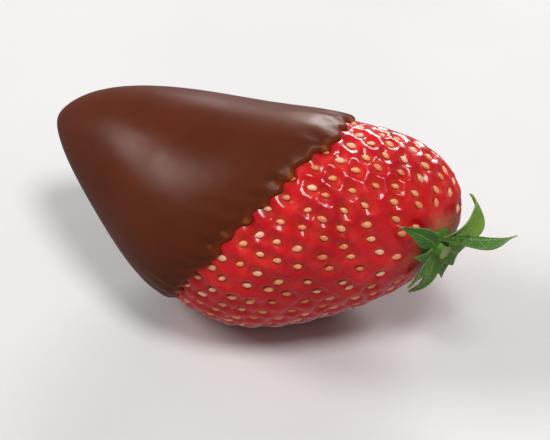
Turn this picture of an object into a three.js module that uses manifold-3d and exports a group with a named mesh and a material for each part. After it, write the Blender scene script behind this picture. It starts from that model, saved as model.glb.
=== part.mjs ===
// A chocolate coated strawberry lying on its side: the fruit, the chocolate shell around its tip, and the
// leafy calyx. Millimetres, +Z up, +X from the tip towards the calyx. The fruit is a bent and slanted
// superellipse of revolution, cut off flat where it lies. The shell and the leaves follow the fruit's skin.
import * as THREE from "three";
import { mergeVertices } from "three/addons/utils/BufferGeometryUtils.js";
import Module from "manifold-3d";

// Driving dimensions
const fruitLength = 53.3; // calyx end to tip
const fruitHalfWidth = 14.5; // widest section, along its slanted width direction
const fruitHalfDepth = 13.9; // widest section, along its slanted depth direction
const shellThickness = 1.1; // chocolate, away from its rim
const seatGap = 0.3; // between pieces that touch

// Fruit: shape of its long outline
const widestAt = 19.3; // distance of the widest section from the calyx end
const shoulderPowers = { along: 1.87, across: 1.88 }; // superellipse from there to the calyx end
const tipPowers = { along: 1.59, across: 1.4 }; // and to the tip
const shoulderShare = 0.4; // share of the rows that lie on the calyx side of the widest section
const sagDepth = 3.73; // how far the middle of the fruit bends away from the straight axis
const tipRise = 0.6; // how far its tip bends the other way
const slantAtCalyx = { width: 0.357, depth: -0.162 }; // lean of a section there, fading out at the tip
const pitDepth = 1.1; // hollow that the calyx sits in
const pitRadiusShare = 0.36; // its radius, as a share of the half width
// Unevenness of a section, in shares of its radius; drift turns a wave along the fruit.
const skinWaves = [
  { count: 3, height: 0.012, start: 0.6, drift: 0 },
  { count: 5, height: 0.0072, start: 2, drift: 3 },
];
const leanAngle = THREE.MathUtils.degToRad(43.3); // of the width direction, from upright to the back

// Flat spot that the fruit lies on
const axisHeight = 15.25; // height of the straight axis over the floor

// Shell: where its rim runs, as a plane across the fruit
const rimDistance = 23.2; // from the calyx end, on the axis
const rimSlant = { width: 0.517, depth: 0.37 }; // the rim's lean along the width and depth directions
const rimWaves = [
  { count: 1, height: 0.45, start: 0.95, drift: 0 },
  { count: 2, height: 0.35, start: 0, drift: 0 },
  { count: 3, height: 0.35, start: 0.8, drift: 0 },
  { count: 7, height: 0.22, start: 2.1, drift: 0 },
  { count: 9, height: 0.38, start: 1.57, drift: 0 },
];
const rimEdge = 0.45; // thickness of the chocolate at its very rim
const rimRounding = 1.2; // distance over which it grows to full thickness

// Calyx
const discRadius = 2.4;
const discHeight = 1.1;
const stalkRadius = 1.2;
const stalkLength = 1.6;
const leafThickness = 0.7;
const leafRoot = 1.4; // distance of a leaf's root from the middle of the calyx
const leafRows = 9;
const leafTaper = 0.45; // how much thinner its tip is
const leafBlade = { from: 0.22, room: 0.76, power: 0.8, least: 0.09 }; // part of a sine, for its width
const liftPower = 1.5; // how late a leaf leaves the skin
// turn: degrees round the fruit from the width direction; reach: how far along the skin the leaf goes;
// lift: height of its tip over the skin; arch: extra height halfway; twist: slope across its blade.
const leaves = [
  { turn: 12, reach: 4.5, lift: 9.6, arch: 0.6, width: 4.0, twist: 2.2 },
  { turn: 81, reach: 8.5, lift: 0.6, arch: 0.3, width: 3.0, twist: 0.05 },
  { turn: 126, reach: 4.1, lift: 0.2, arch: 0.2, width: 3.0, twist: -0.1 },
  { turn: 168, reach: 5.9, lift: 1.3, arch: 0.2, width: 2.6, twist: -0.15 },
  { turn: 207, reach: 7.2, lift: 0.5, arch: 0.5, width: 4.4, twist: 0.1 },
  { turn: 242, reach: 6.2, lift: 1.2, arch: 0.2, width: 3.0, twist: -0.2 },
  { turn: 274, reach: 8.8, lift: 0.5, arch: 0.6, width: 4.4, twist: 0.1 },
  { turn: 308, reach: 6.8, lift: 0.9, arch: 0.3, width: 3.2, twist: 0.15 },
  { turn: 342, reach: 7.6, lift: 0.4, arch: 2.9, width: 4.6, twist: -0.4 },
];

// Mesh fineness
const fruitRows = 32;
const shellRows = 23;
const turnSteps = 44;

const FULL_TURN = 2 * Math.PI;
const widthDirection = new THREE.Vector3(0, Math.sin(leanAngle), Math.cos(leanAngle));
const depthDirection = new THREE.Vector3(0, -Math.cos(leanAngle), Math.sin(leanAngle));

// ---- Fruit surface ----

// A section's distance from the calyx end and its radius as a share of the widest one. share runs from 0 at
// the calyx end to 1 at the tip.
function station(share) {
  const onShoulder = share < shoulderShare;
  const { along, across } = onShoulder ? shoulderPowers : tipPowers;
  const room = onShoulder ? shoulderShare : 1 - shoulderShare;
  const angle = (Math.abs(share - shoulderShare) / room) * (Math.PI / 2);
  const reach = Math.sin(angle) ** (2 / along);
  return {
    distance: widestAt + reach * (onShoulder ? -widestAt : fruitLength - widestAt),
    radius: Math.max(Math.cos(angle), 0) ** (2 / across),
  };
}

function waveHeight(waves, turn, share) {
  return waves.reduce(
    (sum, { count, height, start, drift }) => sum + height * Math.sin(count * turn + start + drift * share),
    0,
  );
}

// A point of the fruit's skin; turn runs round the fruit from the width direction to the depth direction.
function skinPoint(share, turn) {
  const { distance, radius } = station(share);
  const uneven = radius * (1 + waveHeight(skinWaves, turn, share) * radius);
  const width = uneven * fruitHalfWidth * Math.cos(turn);
  const depth = uneven * fruitHalfDepth * Math.sin(turn);
  const lengthShare = distance / fruitLength;
  const slant = (slantAtCalyx.width * width + slantAtCalyx.depth * depth) * (1 - lengthShare);
  const sag = tipRise * lengthShare ** 4 - sagDepth * Math.sin(Math.PI * lengthShare) ** 2;
  const pit = share < shoulderShare ? pitDepth * Math.exp(-((radius / pitRadiusShare) ** 2)) : 0;
  return new THREE.Vector3(-distance - pit + slant, 0, axisHeight)
    .addScaledVector(widthDirection, width + sag)
    .addScaledVector(depthDirection, depth);
}

// The skin's outward unit normal, from neighbouring points.
function skinNormal(share, turn) {
  const step = 0.004;
  const from = Math.min(Math.max(share, 2 * step), 1 - 2 * step);
  const alongSkin = skinPoint(from + step, turn).sub(skinPoint(from - step, turn));
  const roundSkin = skinPoint(from, turn + step).sub(skinPoint(from, turn - step));
  return alongSkin.cross(roundSkin).normalize();
}

// A point at a distance outside the skin.
function grownPoint(share, turn, distance) {
  return skinPoint(share, turn).addScaledVector(skinNormal(share, turn), distance);
}

// ---- Closed meshes ----

// A closed mesh from rings of points, with a single point at each end.
function ringedMesh(firstPoint, rings, lastPoint) {
  const points = [firstPoint, ...rings.flat(), lastPoint];
  const size = rings[0].length;
  const at = (ring, step) => 1 + ring * size + (step % size);
  const index = [];
  for (let step = 0; step < size; step++) {
    index.push(0, at(0, step), at(0, step + 1));
    for (let ring = 0; ring + 1 < rings.length; ring++) {
      index.push(at(ring, step), at(ring + 1, step), at(ring + 1, step + 1));
      index.push(at(ring, step), at(ring + 1, step + 1), at(ring, step + 1));
    }
    index.push(at(rings.length - 1, step), points.length - 1, at(rings.length - 1, step + 1));
  }
  return new THREE.BufferGeometry().setFromPoints(points).setIndex(index);
}

const wasm = await Module();
wasm.setup();

function toSolid(geometry) {
  const bare = geometry.clone();
  bare.deleteAttribute("normal");
  bare.deleteAttribute("uv");
  const merged = mergeVertices(bare, 1e-4);
  return new wasm.Manifold(
    new wasm.Mesh({
      numProp: 3,
      vertProperties: merged.attributes.position.array,
      triVerts: new Uint32Array(merged.index.array),
    }),
  );
}

function toGeometry(solid) {
  const mesh = solid.getMesh();
  return new THREE.BufferGeometry()
    .setAttribute("position", new THREE.BufferAttribute(mesh.vertProperties, 3))
    .setIndex(new THREE.BufferAttribute(mesh.triVerts, 1));
}

// Takes away what lies under the floor.
function layOnFloor(solid) {
  const room = 4 * fruitLength;
  const under = new THREE.BoxGeometry(room, room, room).translate(0, 0, -room / 2);
  return solid.subtract(toSolid(under));
}

// ---- Fruit ----

function ring(pointAt) {
  return Array.from({ length: turnSteps }, (_, step) => pointAt((step / turnSteps) * FULL_TURN));
}

function fruitSolid(grow) {
  const rings = [];
  for (let row = 1; row < fruitRows; row++) {
    rings.push(ring((turn) => grownPoint(row / fruitRows, turn, grow)));
  }
  return toSolid(ringedMesh(grownPoint(0, 0, grow), rings, grownPoint(1, 0, grow)));
}

// ---- Chocolate shell ----

// How far a skin point lies past the rim, towards the tip.
function pastRim(share, turn) {
  const point = skinPoint(share, turn);
  const across = new THREE.Vector3(0, point.y, point.z - axisHeight);
  const lean = rimSlant.width * across.dot(widthDirection) + rimSlant.depth * across.dot(depthDirection);
  return -point.x - rimDistance + lean + waveHeight(rimWaves, turn, share);
}

// The share along the fruit at which the rim crosses one line of the skin, by halving.
function rimShare(turn) {
  let [before, after] = [0.1, 0.95];
  for (let halving = 0; halving < 30; halving++) {
    const middle = (before + after) / 2;
    if (pastRim(middle, turn) < 0) before = middle;
    else after = middle;
  }
  return after;
}

function shellSolid() {
  const rimShares = ring(rimShare);
  // One ring of the shell: part runs from 0 at the rim to 1 at the tip.
  const shellRing = (part, distanceAt) =>
    ring((turn) => {
      const start = rimShares[Math.round((turn / FULL_TURN) * turnSteps)];
      const share = start + part * (1 - start);
      return grownPoint(share, turn, distanceAt(part));
    });
  const outerDistance = (part) => {
    const fromRim = part * (fruitLength - rimDistance);
    const fullness = 1 - Math.exp(-fromRim / rimRounding);
    return seatGap + rimEdge + (shellThickness - rimEdge) * fullness;
  };
  const innerRings = [];
  const outerRings = [];
  for (let row = 0; row < shellRows; row++) {
    const part = row / shellRows;
    innerRings.push(shellRing(part, () => seatGap));
    outerRings.push(shellRing(part, outerDistance));
  }
  const innerTip = grownPoint(1, 0, seatGap);
  const outerTip = grownPoint(1, 0, outerDistance(1));
  return toSolid(ringedMesh(innerTip, [...innerRings.reverse(), ...outerRings], outerTip));
}

// ---- Calyx ----

// The frame of the disc and the stalk: +Z points away from the fruit, and +X along the slanted width.
function calyxFrame() {
  const alongWidth = new THREE.Vector3(slantAtCalyx.width, 0, 0).add(widthDirection).normalize();
  const alongDepth = new THREE.Vector3(slantAtCalyx.depth, 0, 0).add(depthDirection);
  const outwards = new THREE.Vector3().crossVectors(alongWidth, alongDepth).normalize();
  const sideways = new THREE.Vector3().crossVectors(outwards, alongWidth);
  return new THREE.Matrix4().makeBasis(alongWidth, sideways, outwards).setPosition(skinPoint(0, 0));
}

// The share along the fruit that lies a given way along its skin from the calyx end.
function shareAtTravel(turn, travel) {
  const stride = 0.004; // in shares
  let share = 0;
  let gone = 0;
  let stretch = 0;
  for (let from = skinPoint(0, turn); gone < travel; share += stride) {
    const to = skinPoint(share + stride, turn);
    stretch = to.distanceTo(from);
    gone += stretch;
    from = to;
  }
  return share - (stride * (gone - travel)) / stretch;
}

// A leaf's section, in shares of its half width and half thickness.
const leafOutline = [
  [1, 0],
  [0.5, -0.8],
  [-0.5, -0.8],
  [-1, 0],
  [-0.5, 1],
  [0.5, 1],
];

function middleOf(points) {
  return points.reduce((sum, point) => sum.add(point), new THREE.Vector3()).divideScalar(points.length);
}

// A leaf as a closed strip over the skin, widest a third of the way out and pointed at its end.
function leafGeometry({ turn, reach, lift, arch, width, twist }) {
  const leafTurn = THREE.MathUtils.degToRad(turn);
  const rings = [];
  for (let row = 0; row <= leafRows; row++) {
    const part = row / leafRows;
    const share = shareAtTravel(leafTurn, leafRoot + (reach - leafRoot) * part);
    const rise = lift * part ** liftPower + arch * Math.sin(Math.PI * part);
    const height = seatGap + leafThickness / 2 + rise;
    const blade = Math.sin(Math.PI * (leafBlade.from + leafBlade.room * part)) ** leafBlade.power;
    const halfWidth = (width / 2) * Math.max(blade, leafBlade.least);
    const halfThickness = (leafThickness / 2) * (1 - leafTaper * part);
    const girth = station(share).radius * fruitHalfWidth + height;
    rings.push(
      leafOutline.map(([across, thick]) => {
        const sideways = across * halfWidth;
        const slope = twist * sideways * part;
        return grownPoint(share, leafTurn + sideways / girth, height + slope + thick * halfThickness);
      }),
    );
  }
  return ringedMesh(middleOf(rings[0]), rings, middleOf(rings[leafRows]));
}

function discGeometry() {
  const ball = new THREE.SphereGeometry(1, 24, 10).rotateX(Math.PI / 2);
  return ball.scale(discRadius, discRadius, discHeight);
}

// The stalk's stub, cut off square.
function stalkGeometry() {
  return new THREE.CylinderGeometry(stalkRadius, stalkRadius * 1.3, stalkLength, 12)
    .rotateX(Math.PI / 2)
    .translate(0, 0, stalkLength / 2 + discHeight / 2);
}

function calyxSolid() {
  const hub = [discGeometry(), stalkGeometry()].map((piece) => piece.applyMatrix4(calyxFrame()));
  const joined = [...hub, ...leaves.map(leafGeometry)].map(toSolid).reduce((all, piece) => all.add(piece));
  return joined.subtract(fruitSolid(seatGap));
}

// ---- The strawberry ----

function pieceMesh(name, solid, material) {
  const mesh = new THREE.Mesh(toGeometry(solid), material);
  mesh.name = name;
  return mesh;
}

const redSkin = new THREE.MeshStandardMaterial({ color: 0xc4161c, roughness: 0.35, metalness: 0 });
const darkChocolate = new THREE.MeshStandardMaterial({ color: 0x4a2618, roughness: 0.38, metalness: 0 });
const leafGreen = new THREE.MeshStandardMaterial({ color: 0x3f7a2e, roughness: 0.6, metalness: 0 });

const strawberry = new THREE.Group();
strawberry.add(pieceMesh("fruit", layOnFloor(fruitSolid(0)), redSkin));
strawberry.add(pieceMesh("chocolate_shell", layOnFloor(shellSolid()), darkChocolate));
strawberry.add(pieceMesh("calyx", calyxSolid(), leafGreen));

// The origin is under the middle of the whole, on the floor.
const middle = new THREE.Box3().setFromObject(strawberry).getCenter(new THREE.Vector3());
strawberry.position.set(-middle.x, -middle.y, 0);

export default strawberry;
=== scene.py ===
# A strawberry dipped in dark chocolate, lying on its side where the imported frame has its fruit.
# Its shapes are in mm and become metres as they go into a mesh or a node. The studio is in metres.
import bpy
import math
import numpy as np
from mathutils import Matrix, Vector


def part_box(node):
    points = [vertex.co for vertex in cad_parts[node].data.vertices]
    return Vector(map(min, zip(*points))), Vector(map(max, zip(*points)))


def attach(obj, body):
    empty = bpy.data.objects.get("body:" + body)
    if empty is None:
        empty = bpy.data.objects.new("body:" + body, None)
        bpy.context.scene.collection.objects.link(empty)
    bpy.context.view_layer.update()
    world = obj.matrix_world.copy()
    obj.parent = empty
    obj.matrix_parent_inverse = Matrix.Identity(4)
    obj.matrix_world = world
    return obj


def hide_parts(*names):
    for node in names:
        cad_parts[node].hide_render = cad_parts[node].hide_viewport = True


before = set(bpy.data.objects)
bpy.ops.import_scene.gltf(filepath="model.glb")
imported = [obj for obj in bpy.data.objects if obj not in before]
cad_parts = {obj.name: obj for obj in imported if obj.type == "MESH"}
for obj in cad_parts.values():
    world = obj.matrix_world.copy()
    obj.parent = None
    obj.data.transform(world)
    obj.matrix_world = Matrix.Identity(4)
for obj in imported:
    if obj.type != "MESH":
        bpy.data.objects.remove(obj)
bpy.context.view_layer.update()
mm = 0.001
fullTurn = 2 * math.pi
goldenAngle = math.pi * (3 - math.sqrt(5))
dice = np.random.default_rng(41)
print("frame loaded:", ", ".join(sorted(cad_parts)))


def meshObject(name, points, faces, material=None):
    mesh = bpy.data.meshes.new(name)
    mesh.from_pydata((np.asarray(points, dtype=float) * mm).tolist(), [], faces)
    mesh.polygons.foreach_set("use_smooth", [True] * len(mesh.polygons))
    if material:
        mesh.materials.append(material)
    thing = bpy.data.objects.new(name, mesh)
    bpy.context.scene.collection.objects.link(thing)
    return thing


def ringedShape(first, rings, last):  # rings of points, closed with one point at each end
    rows, steps, _ = rings.shape
    points = np.concatenate([[first], rings.reshape(-1, 3), [last]])
    faces = []
    for step in range(steps):
        beside = (step + 1) % steps
        faces.append((0, 1 + step, 1 + beside))
        for row in range(rows - 1):
            start = 1 + row * steps
            faces.append((start + step, start + steps + step, start + steps + beside, start + beside))
        start = 1 + (rows - 1) * steps
        faces.append((start + step, len(points) - 1, start + beside))
    return points, faces


def ringValues(first, values, last):  # one value a point, in the order of ringedShape
    return np.concatenate([[first], np.asarray(values).ravel(), [last]])


def joinShapes(shapes):  # [(points, faces)] as one list of each
    points, faces = [], []
    for morePoints, moreFaces in shapes:
        start = sum(len(each) for each in points)
        points.append(morePoints)
        faces += [tuple(start + corner for corner in face) for face in moreFaces]
    return np.concatenate(points), faces


def keepValues(thing, name, values, kind="FLOAT"):
    attribute = thing.data.attributes.new(name, kind, "POINT")
    field = "vector" if kind == "FLOAT_VECTOR" else "value"
    attribute.data.foreach_set(field, np.asarray(values, dtype=np.float32).ravel())


def addNode(tree, kind, values=(), **settings):
    node = tree.nodes.new(kind)
    for name, value in settings.items():
        setattr(node, name, value)
    for key, value in dict(values).items():
        if isinstance(value, bpy.types.NodeSocket):
            tree.links.new(value, node.inputs[key])
        else:
            node.inputs[key].default_value = value
    return node


def calc(tree, operation, *values):
    return addNode(tree, "ShaderNodeMath", dict(enumerate(values)), operation=operation).outputs[0]


def vectorCalc(tree, operation, *values):
    node = addNode(tree, "ShaderNodeVectorMath", dict(enumerate(values)), operation=operation)
    return node.outputs["Value" if operation == "DOT_PRODUCT" else "Vector"]


def blendOf(tree, factor, first, second):  # a colour between two colours
    values = {0: factor, 6: first, 7: second}
    return addNode(tree, "ShaderNodeMix", values, data_type="RGBA").outputs[2]


def between(tree, value, low, high, start=0.0, end=1.0):  # maps low..high smoothly to start..end
    values = {0: value, 1: low, 2: high, 3: start, 4: end}
    return addNode(tree, "ShaderNodeMapRange", values, interpolation_type="SMOOTHSTEP").outputs[0]


def shownValue(tree, name):  # a value kept on the mesh
    return addNode(tree, "ShaderNodeAttribute", attribute_name=name).outputs["Fac"]


def keptValue(tree, name, kind="FLOAT_VECTOR"):  # the same, in Geometry Nodes
    return addNode(tree, "GeometryNodeInputNamedAttribute", {"Name": name}, data_type=kind).outputs[0]


def noiseOf(tree, size, detail=3.0, roughness=0.5):  # size of its spots, in mm
    place = addNode(tree, "ShaderNodeTexCoord").outputs["Object"]
    values = {"Vector": place, "Scale": 1 / (size * mm), "Detail": detail, "Roughness": roughness}
    return addNode(tree, "ShaderNodeTexNoise", values).outputs[0]


def setBump(tree, shader, height, strength, depth):  # depth in mm
    values = {"Height": height, "Strength": strength, "Distance": depth * mm}
    tree.links.new(addNode(tree, "ShaderNodeBump", values).outputs[0], shader.inputs["Normal"])


def drawBetween(tree, seed, low, high, more):  # each number added to the seed is another draw
    values = {2: low, 3: high, "Seed": calc(tree, "ADD", seed, float(more))}
    return addNode(tree, "FunctionNodeRandomValue", values, data_type="FLOAT").outputs[1]


def tiltedBy(tree, facing, tilts):  # turned on about its own three axes
    tilt = addNode(tree, "ShaderNodeCombineXYZ", dict(enumerate(tilts))).outputs[0]
    tilt = addNode(tree, "FunctionNodeEulerToRotation", {0: tilt}).outputs[0]
    values = {0: facing, 1: tilt}
    return addNode(tree, "FunctionNodeRotateRotation", values, rotation_space="LOCAL").outputs[0]


def newMaterial(name, values):  # its tree and its shader; the uniform values go straight on the shader
    material = bpy.data.materials.new(name)
    material.use_nodes = True
    shader = material.node_tree.nodes["Principled BSDF"]
    for key, value in values.items():
        shader.inputs[key].default_value = value
    return material, material.node_tree, shader


def newGeometryTree(name, inputs):
    tree = bpy.data.node_groups.new(name, "GeometryNodeTree")
    tree.interface.new_socket("Geometry", in_out="INPUT", socket_type="NodeSocketGeometry")
    for inputName, kind in inputs:
        tree.interface.new_socket(inputName, in_out="INPUT", socket_type="NodeSocket" + kind)
    tree.interface.new_socket("Geometry", in_out="OUTPUT", socket_type="NodeSocketGeometry")
    return tree, tree.nodes.new("NodeGroupInput").outputs


def endTree(tree, geometry, material):
    plain = addNode(tree, "GeometryNodeRealizeInstances", {0: geometry}).outputs[0]
    finished = addNode(tree, "GeometryNodeSetMaterial", {"Geometry": plain, "Material": material}).outputs[0]
    addNode(tree, "NodeGroupOutput", {0: finished})


def growWithNodes(thing, tree, values):  # the tree's result becomes the object's own plain mesh
    modifier = thing.modifiers.new(tree.name, "NODES")
    modifier.node_group = tree
    for item in tree.interface.items_tree:
        if item.in_out == "INPUT" and item.name in values:
            modifier[item.identifier] = values[item.name]
    evaluated = thing.evaluated_get(bpy.context.evaluated_depsgraph_get())
    made = bpy.data.meshes.new_from_object(evaluated)
    thing.modifiers.clear()
    old, thing.data = thing.data, made
    bpy.data.meshes.remove(old)


# the fruit's skin, which everything else follows: in mm, share 0 at the calyx end and 1 at the tip
fruitShape = {
    "length": 53.3,
    "halfWidth": 14.5,
    "halfDepth": 13.9,
    "widestAt": 19.3,
    "shoulderShare": 0.4,  # share that lies on the calyx side of the widest section
    "shoulderPowers": (1.87, 1.88),
    "tipPowers": (1.59, 1.40),
    "sag": 3.73,
    "tipRise": 0.6,  # how far the tip bends the other way
    "slant": (0.357, -0.162),  # lean of a section at the calyx end
    "hollowDepth": 1.1,  # that the calyx sits in
    "hollowRadius": 0.36,  # share of the widest radius
    "waves": ((3, 0.012, 0.6, 0), (5, 0.0072, 2, 3)),  # count, height, start, drift
    "lean": math.radians(43.3),  # of its width from upright
    "axisHeight": 15.25,
    "floorSoftness": 0.12,  # how gently it flattens onto the floor
}
widthWay = np.array([0, math.sin(fruitShape["lean"]), math.cos(fruitShape["lean"])])
depthWay = np.array([0, -math.cos(fruitShape["lean"]), math.sin(fruitShape["lean"])])


def station(share):  # how far a section lies from the calyx end, and its radius as a share of the widest
    onShoulder = share < fruitShape["shoulderShare"]
    room = np.where(onShoulder, fruitShape["shoulderShare"], 1 - fruitShape["shoulderShare"])
    angle = np.abs(share - fruitShape["shoulderShare"]) / room * math.pi / 2
    along = np.where(onShoulder, fruitShape["shoulderPowers"][0], fruitShape["tipPowers"][0])
    across = np.where(onShoulder, fruitShape["shoulderPowers"][1], fruitShape["tipPowers"][1])
    reach = np.sin(angle) ** (2 / along)
    widest, length = fruitShape["widestAt"], fruitShape["length"]
    distance = widest + reach * np.where(onShoulder, -widest, length - widest)
    return distance, np.clip(np.cos(angle), 0, None) ** (2 / across)


def waveSum(waves, turn, share):
    return sum(height * np.sin(count * turn + start + drift * share)
               for count, height, start, drift in waves)


def skinPoint(share, turn):
    distance, radius = station(share)
    uneven = radius * (1 + waveSum(fruitShape["waves"], turn, share) * radius)
    width = uneven * fruitShape["halfWidth"] * np.cos(turn)
    depth = uneven * fruitShape["halfDepth"] * np.sin(turn)
    lengthShare = distance / fruitShape["length"]
    slant = (fruitShape["slant"][0] * width + fruitShape["slant"][1] * depth) * (1 - lengthShare)
    sag = fruitShape["tipRise"] * lengthShare**4 - fruitShape["sag"] * np.sin(math.pi * lengthShare) ** 2
    hollow = fruitShape["hollowDepth"] * np.exp(-((radius / fruitShape["hollowRadius"]) ** 2))
    hollow = np.where(share < fruitShape["shoulderShare"], hollow, 0)
    axis = np.stack([-distance - hollow + slant, 0 * width, 0 * width + fruitShape["axisHeight"]], axis=-1)
    return axis + (width + sag)[..., None] * widthWay + depth[..., None] * depthWay


def unit(vectors):
    return vectors / np.linalg.norm(vectors, axis=-1, keepdims=True)


def skinWays(share, turn):  # unit vectors out of the skin, along it towards the tip, and round it
    apart, endGap = 0.004, 0.0004
    middle = np.clip(share, endGap, 1 - endGap)
    step = np.minimum(apart, np.minimum(middle, 1 - middle) / 2)
    along = unit(skinPoint(middle + step, turn) - skinPoint(middle - step, turn))
    across = unit(skinPoint(middle, turn + apart) - skinPoint(middle, turn - apart))
    return unit(np.cross(along, across)), along, across


def grownPoint(share, turn, height):
    return skinPoint(share, turn) + skinWays(share, turn)[0] * np.asarray(height)[..., None]


# a table of the distance along the skin from the calyx end
tableTurns = 180
fineShares = np.linspace(0, 1, 1501)
fineTurns = np.arange(tableTurns) / tableTurns * fullTurn
finePoints = skinPoint(*np.meshgrid(fineShares, fineTurns, indexing="ij"))
fineSteps = np.linalg.norm(np.diff(finePoints, axis=0), axis=-1)
fineTravel = np.concatenate([np.zeros((1, tableTurns)), np.cumsum(fineSteps, axis=0)])
meanTravel = fineTravel.mean(axis=1)

nodeLow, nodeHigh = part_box("fruit")
nodeMiddle = (np.array(nodeLow) + np.array(nodeHigh)) / 2 / mm
shift = nodeMiddle - (finePoints.min(axis=(0, 1)) + finePoints.max(axis=(0, 1))) / 2
shift[2] = 0


def shareAt(travel):  # the share that lies so far along the skin, on average
    return np.interp(travel, meanTravel, fineShares)


def travelAt(share):
    return np.interp(share, fineShares, meanTravel)


def columnOf(turn):  # the table's column for a turn
    return np.round(turn / fullTurn * tableTurns).astype(int) % tableTurns


def travelHere(share, turn):  # the distance at one turn
    return np.array([np.interp(s, fineShares, fineTravel[:, c]) for s, c in zip(share, columnOf(turn))])


def shareHere(travel, turn):
    columns = [np.interp(t, fineTravel[:, c], fineShares) for t, c in zip(travel.T, columnOf(turn))]
    return np.stack(columns, axis=1)


def laidDown(points):  # moved to its place, and flattened where it lies on the floor
    placed = points + shift
    height = placed[..., 2]
    placed[..., 2] = (height + np.sqrt(height**2 + fruitShape["floorSoftness"] ** 2)) / 2
    return placed


# where the seeds sit: a spiral with equal room for each
seedLayout = {
    "spacing": 2.85,  # mm
    "packing": 0.866,  # room for each, as a share of the spacing squared
    "jitter": 0.28,
    "jitterLimit": 0.6,
    "leastRadius": 2,  # of the fruit, for the jitter round it
    "firstAt": 5.2,  # mm along the skin from the calyx end
    "rimGap": 0.15,
    "overFloor": 0.7,
}


def seedPlaces():
    limit = seedLayout["jitterLimit"]
    radii = station(fineShares)[1] * fruitShape["halfWidth"]
    bands = fullTurn * (radii[1:] + radii[:-1]) / 2 * np.diff(meanTravel)
    area = np.concatenate([[0], np.cumsum(bands)])
    count = int(area[-1] / (seedLayout["packing"] * seedLayout["spacing"] ** 2))
    order = np.arange(count)
    share = np.interp((order + 0.5) / count * area[-1], area, fineShares)
    radius = np.maximum(station(share)[1] * fruitShape["halfWidth"], seedLayout["leastRadius"])
    moved = dice.normal(0, seedLayout["jitter"], (2, count)).clip(-limit, limit)
    share = shareAt(travelAt(share) + moved[0])
    return share, order * goldenAngle + moved[1] / radius


seedShare, seedTurn = seedPlaces()
seedPoint = skinPoint(seedShare, seedTurn) + shift
seedOut, seedAlong, seedRound = skinWays(seedShare, seedTurn)
print("seed places:", len(seedShare))

# a seed's dimple, whose length and width are where it is down to a third of its depth
dimpleShape = {
    "depth": 0.68,
    "length": 1.05,
    "width": 0.86,
    "fadeFrom": 3.5,  # mm along the skin from the calyx end, none before here
    "fadeTo": 8.0,
    "lowest": 0.3,  # height over the floor, none below it
    "lowestRoom": 1.2,
}


def pitAt(points):  # 1 in the middle of a dimple, 0 between them, for points in their final place
    atOnce = 4000  # points, to spare memory
    flat = points.reshape(-1, 3)
    nearest = np.empty(len(flat), dtype=int)
    for start in range(0, len(flat), atOnce):
        part = flat[start:start + atOnce]
        nearest[start:start + atOnce] = ((part[:, None] - seedPoint[None]) ** 2).sum(-1).argmin(1)
    offset = flat - seedPoint[nearest]
    along = (offset * seedAlong[nearest]).sum(-1) / dimpleShape["length"]
    across = (offset * seedRound[nearest]).sum(-1) / dimpleShape["width"]
    return np.exp(-(along**2) - across**2).reshape(points.shape[:-1])


fruitFinish = {
    "red": (0.67, 0.008, 0.012, 1),
    "brightRed": (0.80, 0.036, 0.026, 1),
    "deepRed": (0.50, 0.004, 0.010, 1),
    "pale": (0.86, 0.22, 0.13, 1),
    "dimple": (0.60, 0.06, 0.012, 1),
    "patchSize": 9,  # mm
    "blotchSize": 2.2,
    "paintedShadeFrom": 3,  # height where the painted shade, a deeper red towards the bottom, begins to go
    "paintedShadeTo": 17,
    "paleFrom": 4.2,  # mm along the skin where the pale round the calyx begins to go
    "paleTo": 8.0,
    "raggedness": 5.0,
    "raggedSize": 3.5,
    "glossSize": 1.1,
    "grainSize": 0.35,
    "grainDepth": 0.12,
}


def fruitMaterial():
    finish = fruitFinish
    material, tree, shader = newMaterial("fruitSkin", {
        "Subsurface Weight": 0.08,
        "Subsurface Radius": (1.0, 0.25, 0.12),
        "Subsurface Scale": 1.2 * mm,
        "Specular IOR Level": 0.22,
        "Coat Weight": 0.68,
        "Coat Roughness": 0.12,
        "Coat IOR": 1.4,
    })
    patches = between(tree, noiseOf(tree, finish["patchSize"], 2), 0.38, 0.66)
    colour = blendOf(tree, patches, finish["deepRed"], finish["red"])
    blotches = between(tree, noiseOf(tree, finish["blotchSize"], 4), 0.45, 0.72, 0, 0.6)
    colour = blendOf(tree, blotches, colour, finish["brightRed"])
    place = addNode(tree, "ShaderNodeTexCoord").outputs["Object"]
    height = addNode(tree, "ShaderNodeSeparateXYZ", {0: place}).outputs[2]
    # painted shade: the skin turns a deeper red towards the bottom
    paintedShade = between(tree, height, finish["paintedShadeFrom"] * mm, finish["paintedShadeTo"] * mm, 0.7, 0)
    colour = blendOf(tree, paintedShade, colour, finish["deepRed"])
    inDimple = between(tree, shownValue(tree, "pit"), 0.25, 0.95, 0, 0.45)
    colour = blendOf(tree, inDimple, colour, finish["dimple"])
    ragged = calc(tree, "MULTIPLY_ADD", noiseOf(tree, finish["raggedSize"], 4), finish["raggedness"],
                  shownValue(tree, "travel"))
    shoulder = between(tree, ragged, finish["paleFrom"], finish["paleTo"], 0.8, 0)
    colour = blendOf(tree, shoulder, colour, finish["pale"])
    tree.links.new(colour, shader.inputs["Base Color"])
    roughness = between(tree, noiseOf(tree, finish["glossSize"], 3), 0.3, 0.75, 0.19, 0.36)
    tree.links.new(roughness, shader.inputs["Roughness"])
    setBump(tree, shader, noiseOf(tree, finish["grainSize"], 2), 0.18, finish["grainDepth"])
    return material


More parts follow.
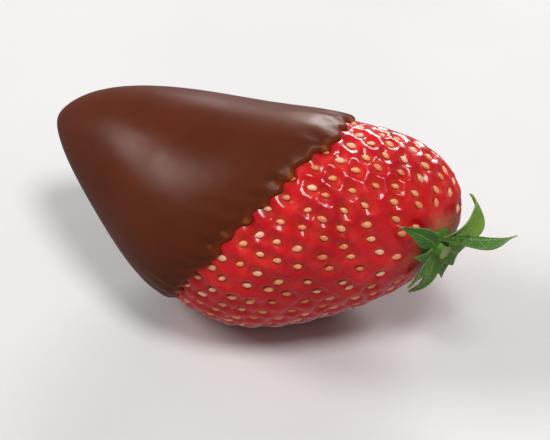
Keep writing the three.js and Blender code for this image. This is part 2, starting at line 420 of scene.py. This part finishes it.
def dimpledSkinTree():
    tree, given = newGeometryTree("dimpledSkin", [
        ("Places", "Object"), ("Depth", "Float"), ("Length", "Float"), ("Width", "Float"),
        ("Skin", "Material"),
    ])
    places = addNode(tree, "GeometryNodeObjectInfo", {"Object": given["Places"]}).outputs["Geometry"]
    position = addNode(tree, "GeometryNodeInputPosition").outputs[0]
    nearest = addNode(tree, "GeometryNodeSampleNearest", {"Geometry": places}, domain="POINT").outputs[0]

    def atNearest(value):
        values = {"Geometry": places, "Value": value, "Index": nearest}
        return addNode(tree, "GeometryNodeSampleIndex", values, data_type="FLOAT_VECTOR").outputs[0]

    offset = vectorCalc(tree, "SUBTRACT", position, atNearest(position))

    def squaredShare(way, size):  # how far off the dimple's middle one way, over its size that way
        share = vectorCalc(tree, "DOT_PRODUCT", offset, atNearest(keptValue(tree, way)))
        share = calc(tree, "DIVIDE", share, given[size])
        return calc(tree, "MULTIPLY", share, share)

    spread = calc(tree, "ADD", squaredShare("along", "Length"), squaredShare("across", "Width"))
    pit = calc(tree, "EXPONENT", calc(tree, "MULTIPLY", spread, -1.0))
    pit = calc(tree, "MULTIPLY", pit, keptValue(tree, "dimpled", "FLOAT"))
    depth = calc(tree, "MULTIPLY", calc(tree, "MULTIPLY", pit, given["Depth"]), -1.0)
    inwards = vectorCalc(tree, "SCALE", keptValue(tree, "outwards"))
    tree.links.new(depth, inwards.node.inputs["Scale"])
    values = {"Geometry": given["Geometry"], "Offset": inwards}
    moved = addNode(tree, "GeometryNodeSetPosition", values).outputs[0]
    values = {"Geometry": moved, "Name": "pit", "Value": pit}
    kept = addNode(tree, "GeometryNodeStoreNamedAttribute", values, data_type="FLOAT", domain="POINT")
    endTree(tree, kept.outputs[0], given["Skin"])
    return tree


def placesObject(chosen):  # the seeds' places as bare points
    places = meshObject("seedPlaces", seedPoint[chosen], [])
    keepValues(places, "along", seedAlong[chosen], "FLOAT_VECTOR")
    keepValues(places, "across", seedRound[chosen], "FLOAT_VECTOR")
    keepValues(places, "outwards", seedOut[chosen], "FLOAT_VECTOR")
    return places


skinMesh = {
    "steps": 330,  # round the fruit and round the coat
    "row": 0.27,  # mm between rows where the skin shows
    "hiddenRow": 0.9,  # and under the chocolate
    "hiddenFrom": 0.66,  # share
    "endGap": 0.28,  # mm from the calyx end to the first row
    "hiddenGap": 0.4,  # and before the first and after the last hidden row
}
meshTurns = np.arange(skinMesh["steps"]) / skinMesh["steps"] * fullTurn


def makeFruit():
    shownEnd, gap = travelAt(skinMesh["hiddenFrom"]), skinMesh["hiddenGap"]
    shown = np.arange(skinMesh["endGap"], shownEnd, skinMesh["row"])
    hidden = np.arange(shownEnd + gap, meanTravel[-1] - gap, skinMesh["hiddenRow"])
    share, turn = np.meshgrid(shareAt(np.concatenate([shown, hidden])), meshTurns, indexing="ij")
    rings = laidDown(skinPoint(share, turn))
    ends = laidDown(skinPoint(np.array([0.0, 1.0]), np.zeros(2)))
    fruit = meshObject("dimpledFruit", *ringedShape(ends[0], rings, ends[1]))
    travel = travelAt(share)
    fadeRoom = dimpleShape["fadeTo"] - dimpleShape["fadeFrom"]
    fade = np.clip((travel - dimpleShape["fadeFrom"]) / fadeRoom, 0, 1)
    lifted = np.clip((rings[..., 2] - dimpleShape["lowest"]) / dimpleShape["lowestRoom"], 0, 1)
    fade = fade * fade * (3 - 2 * fade) * lifted
    keepValues(fruit, "travel", ringValues(0, travel, meanTravel[-1]))
    keepValues(fruit, "dimpled", ringValues(0, fade, 0))
    outwards = skinWays(share, turn)[0].reshape(-1, 3)
    keepValues(fruit, "outwards", np.concatenate([[[1, 0, 0]], outwards, [[-1, 0, 0]]]), "FLOAT_VECTOR")
    places = placesObject(slice(None))
    growWithNodes(fruit, dimpledSkinTree(), {
        "Places": places,
        "Depth": dimpleShape["depth"] * mm,
        "Length": dimpleShape["length"] * mm,
        "Width": dimpleShape["width"] * mm,
        "Skin": fruitMaterial(),
    })
    bpy.data.objects.remove(places)
    return fruit


coatShape = {
    "rimAt": 23.2,  # mm from the calyx end, on the axis
    "rimSlant": (0.517, 0.37),
    "rimWaves": (  # count, height, start, drift
        (1, 0.45, 0.95, 0), (2, 0.35, 0, 0), (3, 0.35, 0.8, 0),
        (7, 0.22, 2.1, 0), (9, 0.38, 1.57, 0), (19, 0.14, 0.4, 0),
    ),
    "rimPull": 0.85,  # mm that it creeps on in a dimple
    "pullFrom": 0.3,  # share of a dimple's depth where it begins to
    "lip": 0.62,  # height of the rounded lip
    "lipRows": 8,
    "rows": 104,
    "crowding": 1.6,  # of the rows towards the tip
    "thickness": 1.25,  # over the fruit's skin
    "growthFrom": 0.3,  # mm from the rim where it begins to thicken, and over which it does
    "growth": 3.2,
    "wave": 0.10,
    "waves": ((0.32, 2, 0), (0.21, -3, 1)),  # for each mm along, for each radian round, start
    "waveFrom": 3.0,  # mm from the rim over which the waves begin
    "dimplesShown": 0.9,  # share of the dimples' depth that shows at the rim
    "dimplesLeft": 0.012,  # and away from it
    "dimplesFade": 1.5,  # mm over which they fade
    "seedSwell": 0.12,  # height over a seed that it covers
    "seedFade": 1.7,
    "calm": 6,  # mm before the tip over which all that is uneven fades
    "inside": 0.25,  # how far its hidden inner side lies under the fruit's skin
    "insideRow": 6,  # rows of the outside to one of the inside
    "insideLeft": 4,  # rows before the tip that the inside leaves out
    "insideFade": 1.6,  # mm from the rim over which it leaves the dimples
}


def pastRim(share, turn):  # how far a skin point lies past the rim, towards the tip
    point = skinPoint(share, turn)
    across = point - np.array([0, 0, fruitShape["axisHeight"]])
    across[..., 0] = 0
    lean = coatShape["rimSlant"][0] * across @ widthWay + coatShape["rimSlant"][1] * across @ depthWay
    waves = waveSum(coatShape["rimWaves"], turn, share)
    return -point[..., 0] - coatShape["rimAt"] + lean + waves


def rimShare(turn):
    halvings = 26
    before, after = np.full(turn.shape, 0.1), np.full(turn.shape, 0.95)
    for _ in range(halvings):
        middle = (before + after) / 2
        short = pastRim(middle, turn) < 0
        before, after = np.where(short, middle, before), np.where(short, after, middle)
    return after


chocolateFinish = {
    "base": (0.098, 0.020, 0.007, 1),
    "dark": (0.072, 0.0135, 0.0045, 1),
    "rim": (0.20, 0.035, 0.010, 1),
    "overSeed": (0.42, 0.12, 0.022, 1),  # seeds under the thin edge
    "cloudSize": 12,  # mm
    "rimWidth": 1.3,
    "glossSize": 5,
    "rippleSize": 3.2,
    "rippleDepth": 0.2,
}


def chocolateMaterial():
    finish = chocolateFinish
    material, tree, shader = newMaterial("darkChocolate", {
        "Specular IOR Level": 0.13,
        "Specular Tint": (1.0, 0.80, 0.74, 1),
    })
    clouds = between(tree, noiseOf(tree, finish["cloudSize"], 3), 0.3, 0.7, 0, 0.55)
    colour = blendOf(tree, clouds, finish["base"], finish["dark"])
    nearRim = between(tree, shownValue(tree, "fromRim"), 0.1, finish["rimWidth"], 0.6, 0)
    colour = blendOf(tree, nearRim, colour, finish["rim"])
    overSeed = between(tree, shownValue(tree, "overSeed"), 0.15, 0.8, 0, 0.55)
    colour = blendOf(tree, overSeed, colour, finish["overSeed"])
    tree.links.new(colour, shader.inputs["Base Color"])
    roughness = between(tree, noiseOf(tree, finish["glossSize"], 4, 0.6), 0.3, 0.7, 0.29, 0.38)
    tree.links.new(roughness, shader.inputs["Roughness"])
    setBump(tree, shader, noiseOf(tree, finish["rippleSize"], 2), 0.05, finish["rippleDepth"])
    return material


def coatRows(start, total):  # mm from the rim: rows round the lip, then rows closer together towards the tip
    lip = coatShape["lip"]
    lipAngles = np.linspace(0, 1, coatShape["lipRows"] + 1)[:-1] * math.pi / 2
    lipTravel = lip * (1 - np.cos(lipAngles))
    parts = 1 - (1 - np.linspace(0, 1, coatShape["rows"] + 1)[:-1]) ** coatShape["crowding"]
    return np.concatenate([
        np.repeat(lipTravel[:, None], len(start), axis=1),
        lip + parts[:, None] * (total - start - lip),
    ])


def coatBody(fromRim):  # the rounded lip, and the chocolate thicker behind it
    lip = coatShape["lip"]
    short = 1 - np.minimum(fromRim / lip, 1)
    grown = 1 - np.exp(-np.clip(fromRim - coatShape["growthFrom"], 0, None) / coatShape["growth"])
    return lip * np.sqrt(np.clip(1 - short**2, 0, 1)) + (coatShape["thickness"] - lip) * grown


def coatWaves(x, turns, fromRim):
    slow = sum(np.sin(each * x + around * turns + start) for each, around, start in coatShape["waves"])
    return coatShape["wave"] / 2 * slow * (1 - np.exp(-fromRim / coatShape["waveFrom"]))


def coatEnds():  # the inside's and the outside's last point, at the tip
    tip = skinPoint(np.ones(1), np.zeros(1))[0]
    ringTurns = np.arange(90) / 90 * fullTurn
    tipWay = unit(skinWays(np.ones(90), ringTurns)[0].mean(axis=0))
    return laidDown(np.array([tip - coatShape["inside"] * tipWay, tip + coatShape["thickness"] * tipWay]))


def makeCoat():
    rim = rimShare(meshTurns)
    start = travelHere(rim, meshTurns)
    start -= coatShape["rimPull"] * (pitAt(skinPoint(rim, meshTurns) + shift) - coatShape["pullFrom"])
    total = fineTravel[-1][columnOf(meshTurns)]
    fromRim = coatRows(start, total)
    share = np.clip(shareHere(start + fromRim, meshTurns), 0, 1)
    turns = np.broadcast_to(meshTurns, share.shape)
    skin = skinPoint(share, turns)
    pit = pitAt(skin + shift)
    dimpled = dimpleShape["depth"] * pit
    shown = np.exp(-fromRim / coatShape["dimplesFade"])
    shown = coatShape["dimplesShown"] * shown + coatShape["dimplesLeft"]
    calm = np.clip((total - start - fromRim) / coatShape["calm"], 0, 1)
    overSeed = pit**4 * np.exp(-((fromRim / coatShape["seedFade"]) ** 2))
    waves = coatWaves(skin[..., 0], turns, fromRim)
    height = coatBody(fromRim) + waves * calm - dimpled * shown * calm + coatShape["seedSwell"] * overSeed
    outer = laidDown(grownPoint(share, turns, height))
    innerRows = slice(0, len(share) - coatShape["insideLeft"], coatShape["insideRow"])
    innerFade = np.exp(-fromRim[innerRows] / coatShape["insideFade"])
    innerHeight = -coatShape["inside"] - dimpled[innerRows] * innerFade
    inner = laidDown(grownPoint(share[innerRows], turns[innerRows], innerHeight))
    ends = coatEnds()
    rings = np.concatenate([inner[::-1], outer])
    distances = np.concatenate([fromRim[innerRows][::-1], fromRim])
    coat = meshObject("chocolateCoat", *ringedShape(ends[0], rings, ends[1]), chocolateMaterial())
    atTip = total.mean() - start.mean()
    keepValues(coat, "fromRim", ringValues(atTip, distances, atTip))
    keepValues(coat, "overSeed", ringValues(0, np.concatenate([0 * innerHeight, overSeed]), 0))
    return coat


seedShape = {
    "halfLength": 0.61,  # mm
    "halfWidth": 0.40,
    "halfThickness": 0.28,
    "taper": 0.38,  # how much slimmer it is at the end towards the tip
    "shallow": 0.1,  # below the skin near the calyx
    "sunk": 0.44,  # and elsewhere
    "tilt": 0.15,  # the most either way, in radians
    "twist": 0.35,
    "smallest": 0.84,
    "largest": 1.12,
    "yellow": (0.88, 0.38, 0.17, 1),
    "orange": (0.80, 0.21, 0.08, 1),
    "pale": (0.95, 0.55, 0.36, 1),
    "speckleSize": 0.4,
    "glossSize": 0.3,
}


def seedMaterial():
    material, tree, shader = newMaterial("seedHusk", {"Coat Weight": 0.2})
    tone = shownValue(tree, "tone")
    colour = blendOf(tree, between(tree, tone, 0.0, 0.55), seedShape["orange"], seedShape["yellow"])
    colour = blendOf(tree, between(tree, tone, 0.6, 1.0), colour, seedShape["pale"])
    speckle = between(tree, noiseOf(tree, seedShape["speckleSize"], 3), 0.5, 0.8, 0, 0.5)
    colour = blendOf(tree, speckle, colour, seedShape["orange"])
    tree.links.new(colour, shader.inputs["Base Color"])
    roughness = between(tree, noiseOf(tree, seedShape["glossSize"]), 0.3, 0.7, 0.28, 0.45)
    tree.links.new(roughness, shader.inputs["Roughness"])
    return material


def seedTree():
    tree, given = newGeometryTree("seedsOnPoints", [
        ("Half Length", "Float"), ("Half Width", "Float"), ("Half Thickness", "Float"), ("Seed", "Int"),
        ("Husk", "Material"),
    ])
    ball = addNode(tree, "GeometryNodeMeshUVSphere", {"Segments": 8, "Rings": 6, "Radius": 1.0}).outputs[0]
    ball = addNode(tree, "GeometryNodeTransform", {0: ball, "Rotation": (0, math.pi / 2, 0)}).outputs[0]
    position = addNode(tree, "GeometryNodeInputPosition").outputs[0]
    x, y, z = list(addNode(tree, "ShaderNodeSeparateXYZ", {0: position}).outputs)
    slimming = calc(tree, "MULTIPLY", seedShape["taper"], calc(tree, "MAXIMUM", x, 0.0))
    slim = calc(tree, "SUBTRACT", 1.0, slimming)
    drop = addNode(tree, "ShaderNodeCombineXYZ", {
        0: calc(tree, "MULTIPLY", x, given["Half Length"]),
        1: calc(tree, "MULTIPLY", calc(tree, "MULTIPLY", y, slim), given["Half Width"]),
        2: calc(tree, "MULTIPLY", calc(tree, "MULTIPLY", z, slim), given["Half Thickness"]),
    }).outputs[0]
    shape = addNode(tree, "GeometryNodeSetPosition", {"Geometry": ball, "Position": drop}).outputs[0]
    shape = addNode(tree, "GeometryNodeSetShadeSmooth", {0: shape}).outputs[0]
    ways = {"Primary Axis": keptValue(tree, "outwards"), "Secondary Axis": keptValue(tree, "along")}
    facing = addNode(tree, "FunctionNodeAxesToRotation", ways, primary_axis="Z", secondary_axis="X")
    tilt, twist = seedShape["tilt"], seedShape["twist"]
    tilts = [
        drawBetween(tree, given["Seed"], -tilt, tilt, 1),
        drawBetween(tree, given["Seed"], -tilt, tilt, 2),
        drawBetween(tree, given["Seed"], -twist, twist, 3),
    ]
    placed = addNode(tree, "GeometryNodeInstanceOnPoints", {
        "Points": given["Geometry"],
        "Instance": shape,
        "Rotation": tiltedBy(tree, facing.outputs[0], tilts),
        "Scale": drawBetween(tree, given["Seed"], seedShape["smallest"], seedShape["largest"], 4),
    }).outputs[0]
    # on the seeds this stored tone is only a random colour for each seed
    values = {"Geometry": placed, "Name": "tone", "Value": drawBetween(tree, given["Seed"], 0, 1, 5)}
    toned = addNode(tree, "GeometryNodeStoreNamedAttribute", values, data_type="FLOAT", domain="INSTANCE")
    endTree(tree, toned.outputs[0], given["Husk"])
    return tree


def makeSeeds():
    travel = travelAt(seedShare)
    shown = travel > seedLayout["firstAt"]
    shown &= pastRim(seedShare, seedTurn) < -seedLayout["rimGap"]
    shown &= seedPoint[:, 2] > seedLayout["overFloor"]
    seeds = placesObject(shown)
    seeds.name = "seeds"
    depths = (seedShape["shallow"], seedShape["sunk"])
    depth = np.interp(travel[shown], (dimpleShape["fadeFrom"], dimpleShape["fadeTo"]), depths)
    sunk = seedPoint[shown] - seedOut[shown] * depth[:, None]
    seeds.data.vertices.foreach_set("co", (sunk * mm).ravel())
    growWithNodes(seeds, seedTree(), {
        "Half Length": seedShape["halfLength"] * mm,
        "Half Width": seedShape["halfWidth"] * mm,
        "Half Thickness": seedShape["halfThickness"] * mm,
        "Seed": 7,
        "Husk": seedMaterial(),
    })
    print("seeds:", int(shown.sum()))
    return seeds


calyxShape = {
    "leafRoot": 1.4,  # mm along the skin
    "leafRows": 26,
    "leafColumns": 7,  # on each half of a side
    "thickness": 0.34,
    "thinning": 0.35,  # share of the thickness that is gone at the point
    "bladeFrom": 0.22,  # where on a sine's arch the outline begins, and how much of it there is
    "bladeRoom": 0.76,
    "bladeFullness": 1.06,
    "bladeRoundness": 0.8,
    "bladePoint": 2.6,  # more keeps it broad for longer
    "leastWidth": 0.012,
    "grooveDepth": 0.07,  # over the midrib
    "grooveWidth": 0.12,
    "ribHeight": 0.10,  # below it
    "ribWidth": 0.14,
    "cup": 0.30,  # how far the edges rise
    "edgeWave": 0.16,
    "bend": 0.35,  # sideways, at the point
    "seat": 0.65,  # middle of a leaf over the fruit's skin, at its root
    "discRadius": 2.4,
    "discHeight": 1.1,
    "discRipple": 0.05,
    "stalkRadius": 1.0,
    "stalkLength": 1.25,
    "stalkRipple": 0.04,
    "stalkProfile": (  # share of its radius, share of its length, how pale
        (1.45, -0.3, 0), (1.35, 0.0, 0), (1.16, 0.3, 0), (1.05, 0.6, 0), (1.0, 0.85, 0),
        (1.02, 0.97, 0.08), (0.9, 1.0, 0.28), (0.6, 0.96, 0.36), (0.3, 0.93, 0.36),
    ),
}
leaves = (  # turn, reach, lift, arch, width, twist, tone from 0 dark to 1 light, how pale its point is; the tone is partly painted light and shade, dark for a leaf in shade and light for a lit leaf, and partly the paler inner face of a leaf
    (12, 4.5, 9.6, 0.6, 4.0, 2.2, 0.05, 0.25),
    (81, 8.5, 0.6, 0.3, 3.0, 0.05, 0.1, 0.9),
    (126, 4.1, 0.2, 0.2, 3.0, -0.1, 0.2, 0.25),
    (168, 5.9, 1.3, 0.2, 2.6, -0.15, 0.3, 0.25),
    (207, 7.2, 0.5, 0.5, 4.4, 0.1, 0.35, 0.25),
    (242, 6.2, 1.2, 0.2, 3.0, -0.2, 0.2, 0.25),
    (274, 8.8, 0.5, 0.6, 4.4, 0.1, 0.4, 0.25),
    (308, 6.8, 0.9, 0.3, 3.2, 0.15, 0.3, 0.25),
    (342, 7.6, 0.4, 1.5, 5.2, -0.4, 0.9, 0.25),
)


def calyxBasis():  # ways along the slanted width, across it and out of the fruit
    alongWidth = unit(np.array([fruitShape["slant"][0], 0, 0]) + widthWay)
    alongDepth = np.array([fruitShape["slant"][1], 0, 0]) + depthWay
    outwards = unit(np.cross(alongWidth, alongDepth))
    return alongWidth, np.cross(outwards, alongWidth), outwards


def leafThickness(part, across, top):  # half of it up from the middle on top, and down below
    grooveWidth, ribWidth = calyxShape["grooveWidth"], calyxShape["ribWidth"]
    edge = np.sqrt(np.clip(1 - across**4, 0, 1))
    thick = calyxShape["thickness"] / 2 * top * edge * (1 - calyxShape["thinning"] * part)
    groove = calyxShape["grooveDepth"] * np.exp(-((across / grooveWidth) ** 2))
    rib = calyxShape["ribHeight"] * np.exp(-((across / ribWidth) ** 2))
    return thick - np.where(top > 0, groove, rib)


def leafRings(turn, reach, lift, arch, width, twist):
    columns = calyxShape["leafColumns"]
    turn = math.radians(turn)
    part = np.linspace(0, 1, calyxShape["leafRows"])[:, None]
    travel = calyxShape["leafRoot"] + (reach - calyxShape["leafRoot"]) * part
    share = np.interp(travel, fineTravel[:, columnOf(turn)], fineShares)
    blade = np.sin(math.pi * (calyxShape["bladeFrom"] + calyxShape["bladeRoom"] * part))
    blade = calyxShape["bladeFullness"] * blade ** calyxShape["bladeRoundness"]
    pointed = 1 - part ** calyxShape["bladePoint"]
    halfWidth = width / 2 * np.maximum(blade * pointed, calyxShape["leastWidth"])
    acrossHalf = np.linspace(1, -1, 2 * columns + 1)
    across = np.concatenate([acrossHalf, acrossHalf[-2:0:-1]])[None, :]
    top = np.concatenate([np.ones(2 * columns + 1), -np.ones(2 * columns - 1)])[None, :]
    rise = lift * part**1.5 + arch * np.sin(math.pi * part)
    phase = turn * 5
    cup = calyxShape["cup"] * across**2 * np.sin(math.pi * part) * (width / 3)
    wavy = calyxShape["edgeWave"] * np.abs(across) ** 3 * np.sin(9 * part + phase + 1.5 * np.sign(across))
    height = calyxShape["seat"] + rise + cup + wavy
    sideways = across * halfWidth * (1 + 0.05 * np.sin(14 * part + phase))
    bend = calyxShape["bend"] * math.sin(phase) * part**2
    girth = station(share)[1] * fruitShape["halfWidth"] + height
    share = np.broadcast_to(share, height.shape)
    turns = turn + (sideways + bend) / girth
    height = height + twist * sideways * part + leafThickness(part, across, top)
    return grownPoint(share, turns, height), part, across


calyxFinish = {
    "dark": (0.022, 0.115, 0.010, 1),
    "light": (0.20, 0.36, 0.040, 1),
    "mottle": (0.08, 0.21, 0.018, 1),
    "mottleSize": 1.6,  # mm
    "vein": (0.26, 0.42, 0.10, 1),
    "veins": 9.0,  # side veins along a leaf
    "veinSlant": 2.2,
    "margin": (0.40, 0.46, 0.20, 1),
    # paler at the points of the leaves and at the end of the stalk
    "cut": (0.74, 0.60, 0.42, 1),
    "grainSize": 0.5,
    "veinDepth": 0.10,
}


def calyxMaterial():
    finish = calyxFinish
    material, tree, shader = newMaterial("leafGreen", {
        "Specular IOR Level": 0.3,
        "Subsurface Weight": 0.08,
        "Subsurface Radius": (0.3, 1.0, 0.1),
        "Subsurface Scale": 0.6 * mm,
    })
    tone, part, across, cut = (shownValue(tree, name) for name in ("tone", "part", "across", "cut"))
    # painted light and shade: each leaf's tone darkens a leaf that sits in shade and lightens a lit one
    colour = blendOf(tree, tone, finish["dark"], finish["light"])
    mottled = between(tree, noiseOf(tree, finish["mottleSize"], 4), 0.35, 0.7)
    colour = blendOf(tree, calc(tree, "MULTIPLY", mottled, 0.45), colour, finish["mottle"])
    side = calc(tree, "ABSOLUTE", across)
    branch = calc(tree, "SUBTRACT", calc(tree, "MULTIPLY", part, finish["veins"]),
                  calc(tree, "MULTIPLY", side, finish["veinSlant"]))
    offBranch = calc(tree, "ABSOLUTE", calc(tree, "SUBTRACT", calc(tree, "FRACT", branch), 0.5))
    sideVein = between(tree, offBranch, 0.0, 0.11, 0.55, 0)
    midVein = between(tree, side, 0.02, 0.13, 1, 0)
    vein = calc(tree, "MAXIMUM", sideVein, midVein)
    colour = blendOf(tree, calc(tree, "MULTIPLY", vein, 0.45), colour, finish["vein"])
    colour = blendOf(tree, between(tree, side, 0.82, 1.0, 0, 0.4), colour, finish["margin"])
    colour = blendOf(tree, between(tree, cut, 0.0, 1.0), colour, finish["cut"])
    tree.links.new(colour, shader.inputs["Base Color"])
    tree.links.new(between(tree, mottled, 0, 1, 0.42, 0.58), shader.inputs["Roughness"])
    height = calc(tree, "ADD", calc(tree, "MULTIPLY", vein, -1.0), noiseOf(tree, finish["grainSize"], 3))
    setBump(tree, shader, height, 0.4, finish["veinDepth"])
    return material


def turnedRings(radii, heights, count, ripple):  # about the calyx's own axis, from the fruit's end
    alongWidth, sideways, outwards = calyxBasis()
    angle = np.arange(count) / count * fullTurn
    radius, height = np.asarray(radii)[:, None], np.asarray(heights)[:, None]
    radius = radius * (1 + ripple * np.sin(len(leaves) * angle))
    flat = radius[..., None] * (np.cos(angle)[:, None] * alongWidth + np.sin(angle)[:, None] * sideways)
    return skinPoint(np.zeros(1), np.zeros(1))[0] + flat + height[..., None] * outwards


def turnedShape(radii, heights, endHeights, count, ripple):
    rings = turnedRings(radii, heights, count, ripple)
    ends = turnedRings([0, 0], endHeights, 1, 0)[:, 0]
    return ringedShape(ends[0], rings, ends[1])


def makeCalyx():
    shapes, kept = [], {"tone": [], "part": [], "across": [], "cut": []}

    def keep(shape, **values):
        shapes.append(shape)
        for name, store in kept.items():
            store.append(np.broadcast_to(np.asarray(values[name], dtype=float), (len(shape[0]),)))

    for *leaf, tone, paleTip in leaves:
        rings, part, across = leafRings(*leaf)
        parts = ringValues(0, np.broadcast_to(part, rings.shape[:2]), 1)
        sides = ringValues(0, np.broadcast_to(across, rings.shape[:2]), 0)
        # each leaf's point paler towards its end, the most on the leaf at turn 81
        pale = np.clip((parts - 0.86) / 0.1, 0, 1) * paleTip
        keep(ringedShape(rings[0].mean(axis=0), rings, rings[-1].mean(axis=0)),
             tone=tone, part=parts, across=sides, cut=pale)

    discHeight, discRows = calyxShape["discHeight"], 14
    angles = np.linspace(1, 0.05, discRows)[1:] * math.pi
    keep(turnedShape(calyxShape["discRadius"] * np.sin(angles), discHeight * np.cos(angles),
                     (-discHeight, discHeight), 48, calyxShape["discRipple"]),
         tone=0.25, part=0.3, across=0.5, cut=0)

    radii, heights, pale = np.array(calyxShape["stalkProfile"]).T
    heights = discHeight / 2 + heights * calyxShape["stalkLength"]
    stalkSteps = 36
    keep(turnedShape(radii * calyxShape["stalkRadius"], heights, (heights[0], heights[-1]), stalkSteps,
                     calyxShape["stalkRipple"]),
         tone=0.45, part=0.3, across=0.5, cut=ringValues(0, np.repeat(pale, stalkSteps), pale[-1]))

    points, faces = joinShapes(shapes)
    calyx = meshObject("leafyCalyx", points + shift, faces, calyxMaterial())
    for name, store in kept.items():
        keepValues(calyx, name, np.concatenate(store))
    return calyx


hairShape = {
    "density": 5.0,  # for each mm2
    "length": 0.55,  # mm
    "radius": 0.028,
    "lean": 0.35,  # how far its point leans, as a share of its length
    "tilt": 0.6,  # the most either way, in radians
    "shortest": 0.5,
    "longest": 1.2,
    "green": (0.42, 0.50, 0.24, 1),
    "pale": (0.72, 0.74, 0.52, 1),
    "patchSize": 1.5,
}


def hairTree():
    tree, given = newGeometryTree("hairsOnLeaves", [
        ("Density", "Float"), ("Length", "Float"), ("Radius", "Float"), ("Seed", "Int"),
        ("Hair", "Material"),
    ])
    spots = addNode(tree, "GeometryNodeDistributePointsOnFaces", {
        "Mesh": given["Geometry"], "Density": given["Density"], "Seed": given["Seed"],
    }).outputs
    cone = addNode(tree, "GeometryNodeMeshCone", {
        "Vertices": 3, "Side Segments": 3, "Radius Top": 0.0, "Radius Bottom": given["Radius"],
        "Depth": given["Length"],
    }).outputs["Mesh"]
    position = addNode(tree, "GeometryNodeInputPosition").outputs[0]
    height = addNode(tree, "ShaderNodeSeparateXYZ", {0: position}).outputs[2]
    height = calc(tree, "DIVIDE", height, given["Length"])
    lean = calc(tree, "MULTIPLY", calc(tree, "MULTIPLY", height, height),
                calc(tree, "MULTIPLY", given["Length"], hairShape["lean"]))
    lean = addNode(tree, "ShaderNodeCombineXYZ", {0: lean}).outputs[0]
    bent = addNode(tree, "GeometryNodeSetPosition", {"Geometry": cone, "Offset": lean}).outputs[0]
    tilt = hairShape["tilt"]
    tilts = [
        drawBetween(tree, given["Seed"], -tilt, tilt, 1),
        drawBetween(tree, given["Seed"], -tilt, tilt, 2),
        drawBetween(tree, given["Seed"], 0, fullTurn, 3),
    ]
    placed = addNode(tree, "GeometryNodeInstanceOnPoints", {
        "Points": spots["Points"],
        "Instance": bent,
        "Rotation": tiltedBy(tree, spots["Rotation"], tilts),
        "Scale": drawBetween(tree, given["Seed"], hairShape["shortest"], hairShape["longest"], 4),
    }).outputs[0]
    endTree(tree, placed, given["Hair"])
    return tree


def makeHairs(leafy):
    material, tree, shader = newMaterial("leafHair", {"Roughness": 0.45})
    patches = noiseOf(tree, hairShape["patchSize"])
    colour = blendOf(tree, patches, hairShape["green"], hairShape["pale"])
    tree.links.new(colour, shader.inputs["Base Color"])
    hairs = bpy.data.objects.new("calyxHairs", leafy.data.copy())
    bpy.context.scene.collection.objects.link(hairs)
    growWithNodes(hairs, hairTree(), {
        "Density": hairShape["density"] / mm**2,
        "Length": hairShape["length"] * mm,
        "Radius": hairShape["radius"] * mm,
        "Seed": 3,
        "Hair": material,
    })
    return hairs


fruit = makeFruit()
print("fruit:", len(fruit.data.polygons), "faces")
coat = makeCoat()
print("chocolate coat:", len(coat.data.polygons), "faces")
seeds = makeSeeds()
calyx = makeCalyx()
print("calyx:", len(calyx.data.polygons), "faces")
hairs = makeHairs(calyx)
print("hairs:", len(hairs.data.polygons), "faces")

for piece, node, slot in (
    (fruit, "fruit", "fruit_skin"),
    (coat, "chocolate_shell", "dark_chocolate"),
    (calyx, "calyx", "leaf_green"),
    (seeds, None, "fruit_skin"),
    (hairs, None, "leaf_green"),
):
    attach(piece, "root")
    if node:
        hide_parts(node)

studio = {
    "azimuth": 27,
    "elevation": 40,
    "distance": 0.5,
    "lens": 262,
    "aim": (0.0004, -0.0001, 0.01335),  # near the middle of the whole
    "world": 0.22,
    "floorReach": 2000,  # mm, as a shape
    "floorPatches": 60,
    "lights": (  # name, way to it as right, up and towards the camera, distance, size, power, colour
        ("key", (-0.80, 0.53, 0.18), 1.2, 0.45, 8.4, (1.0, 0.98, 0.96)),
        ("top", (0.18, 0.77, -0.50), 1.2, 0.56, 9.8, (1.0, 0.99, 0.98)),
        ("fill", (0.20, 0.55, 0.80), 1.4, 0.50, 12.6, (1.0, 0.99, 0.98)),
    ),
}
azimuth, elevation = math.radians(studio["azimuth"]), math.radians(studio["elevation"])
right = Vector((math.cos(azimuth), math.sin(azimuth), 0))
towards = Vector((math.sin(azimuth) * math.cos(elevation), -math.cos(azimuth) * math.cos(elevation),
                  math.sin(elevation)))
up = towards.cross(right)
aim = Vector(studio["aim"])

cameraData = bpy.data.cameras.new("camera")
cameraData.lens = studio["lens"]
cameraData.clip_start = 0.01
camera = bpy.data.objects.new("camera", cameraData)
camera.location = aim + towards * studio["distance"]
camera.rotation_euler = towards.to_track_quat("Z", "Y").to_euler()
bpy.context.scene.collection.objects.link(camera)
bpy.context.scene.camera = camera

for name, way, distance, size, power, colour in studio["lights"]:
    data = bpy.data.lights.new(name, "AREA")
    data.shape = "DISK"
    data.size, data.energy, data.color = size, power, colour
    light = bpy.data.objects.new(name, data)
    direction = (right * way[0] + up * way[1] + towards * way[2]).normalized()
    light.location = aim + direction * distance
    light.rotation_euler = direction.to_track_quat("Z", "Y").to_euler()
    bpy.context.scene.collection.objects.link(light)

world = bpy.data.worlds.new("room")
world.use_nodes = True
world.node_tree.nodes["Background"].inputs["Color"].default_value = (0.95, 0.96, 1.0, 1)
world.node_tree.nodes["Background"].inputs["Strength"].default_value = studio["world"]
bpy.context.scene.world = world
bpy.context.scene.view_settings.view_transform = "Standard"

floorMaterial, floorTree, floorShader = newMaterial("paleFloor", {"Roughness": 0.6})
floorPatches = between(floorTree, noiseOf(floorTree, studio["floorPatches"], 3), 0.3, 0.7)
floorColour = blendOf(floorTree, floorPatches, (0.62, 0.62, 0.615, 1), (0.66, 0.66, 0.655, 1))
floorTree.links.new(floorColour, floorShader.inputs["Base Color"])
reach = studio["floorReach"]
corners = [(-reach, -reach, 0), (reach, -reach, 0), (reach, reach, 0), (-reach, reach, 0)]
floor = meshObject("floor", corners, [(0, 1, 2, 3)], floorMaterial)
floor.visible_glossy = False  # keeps its white haze out of the glaze
print("studio ready")
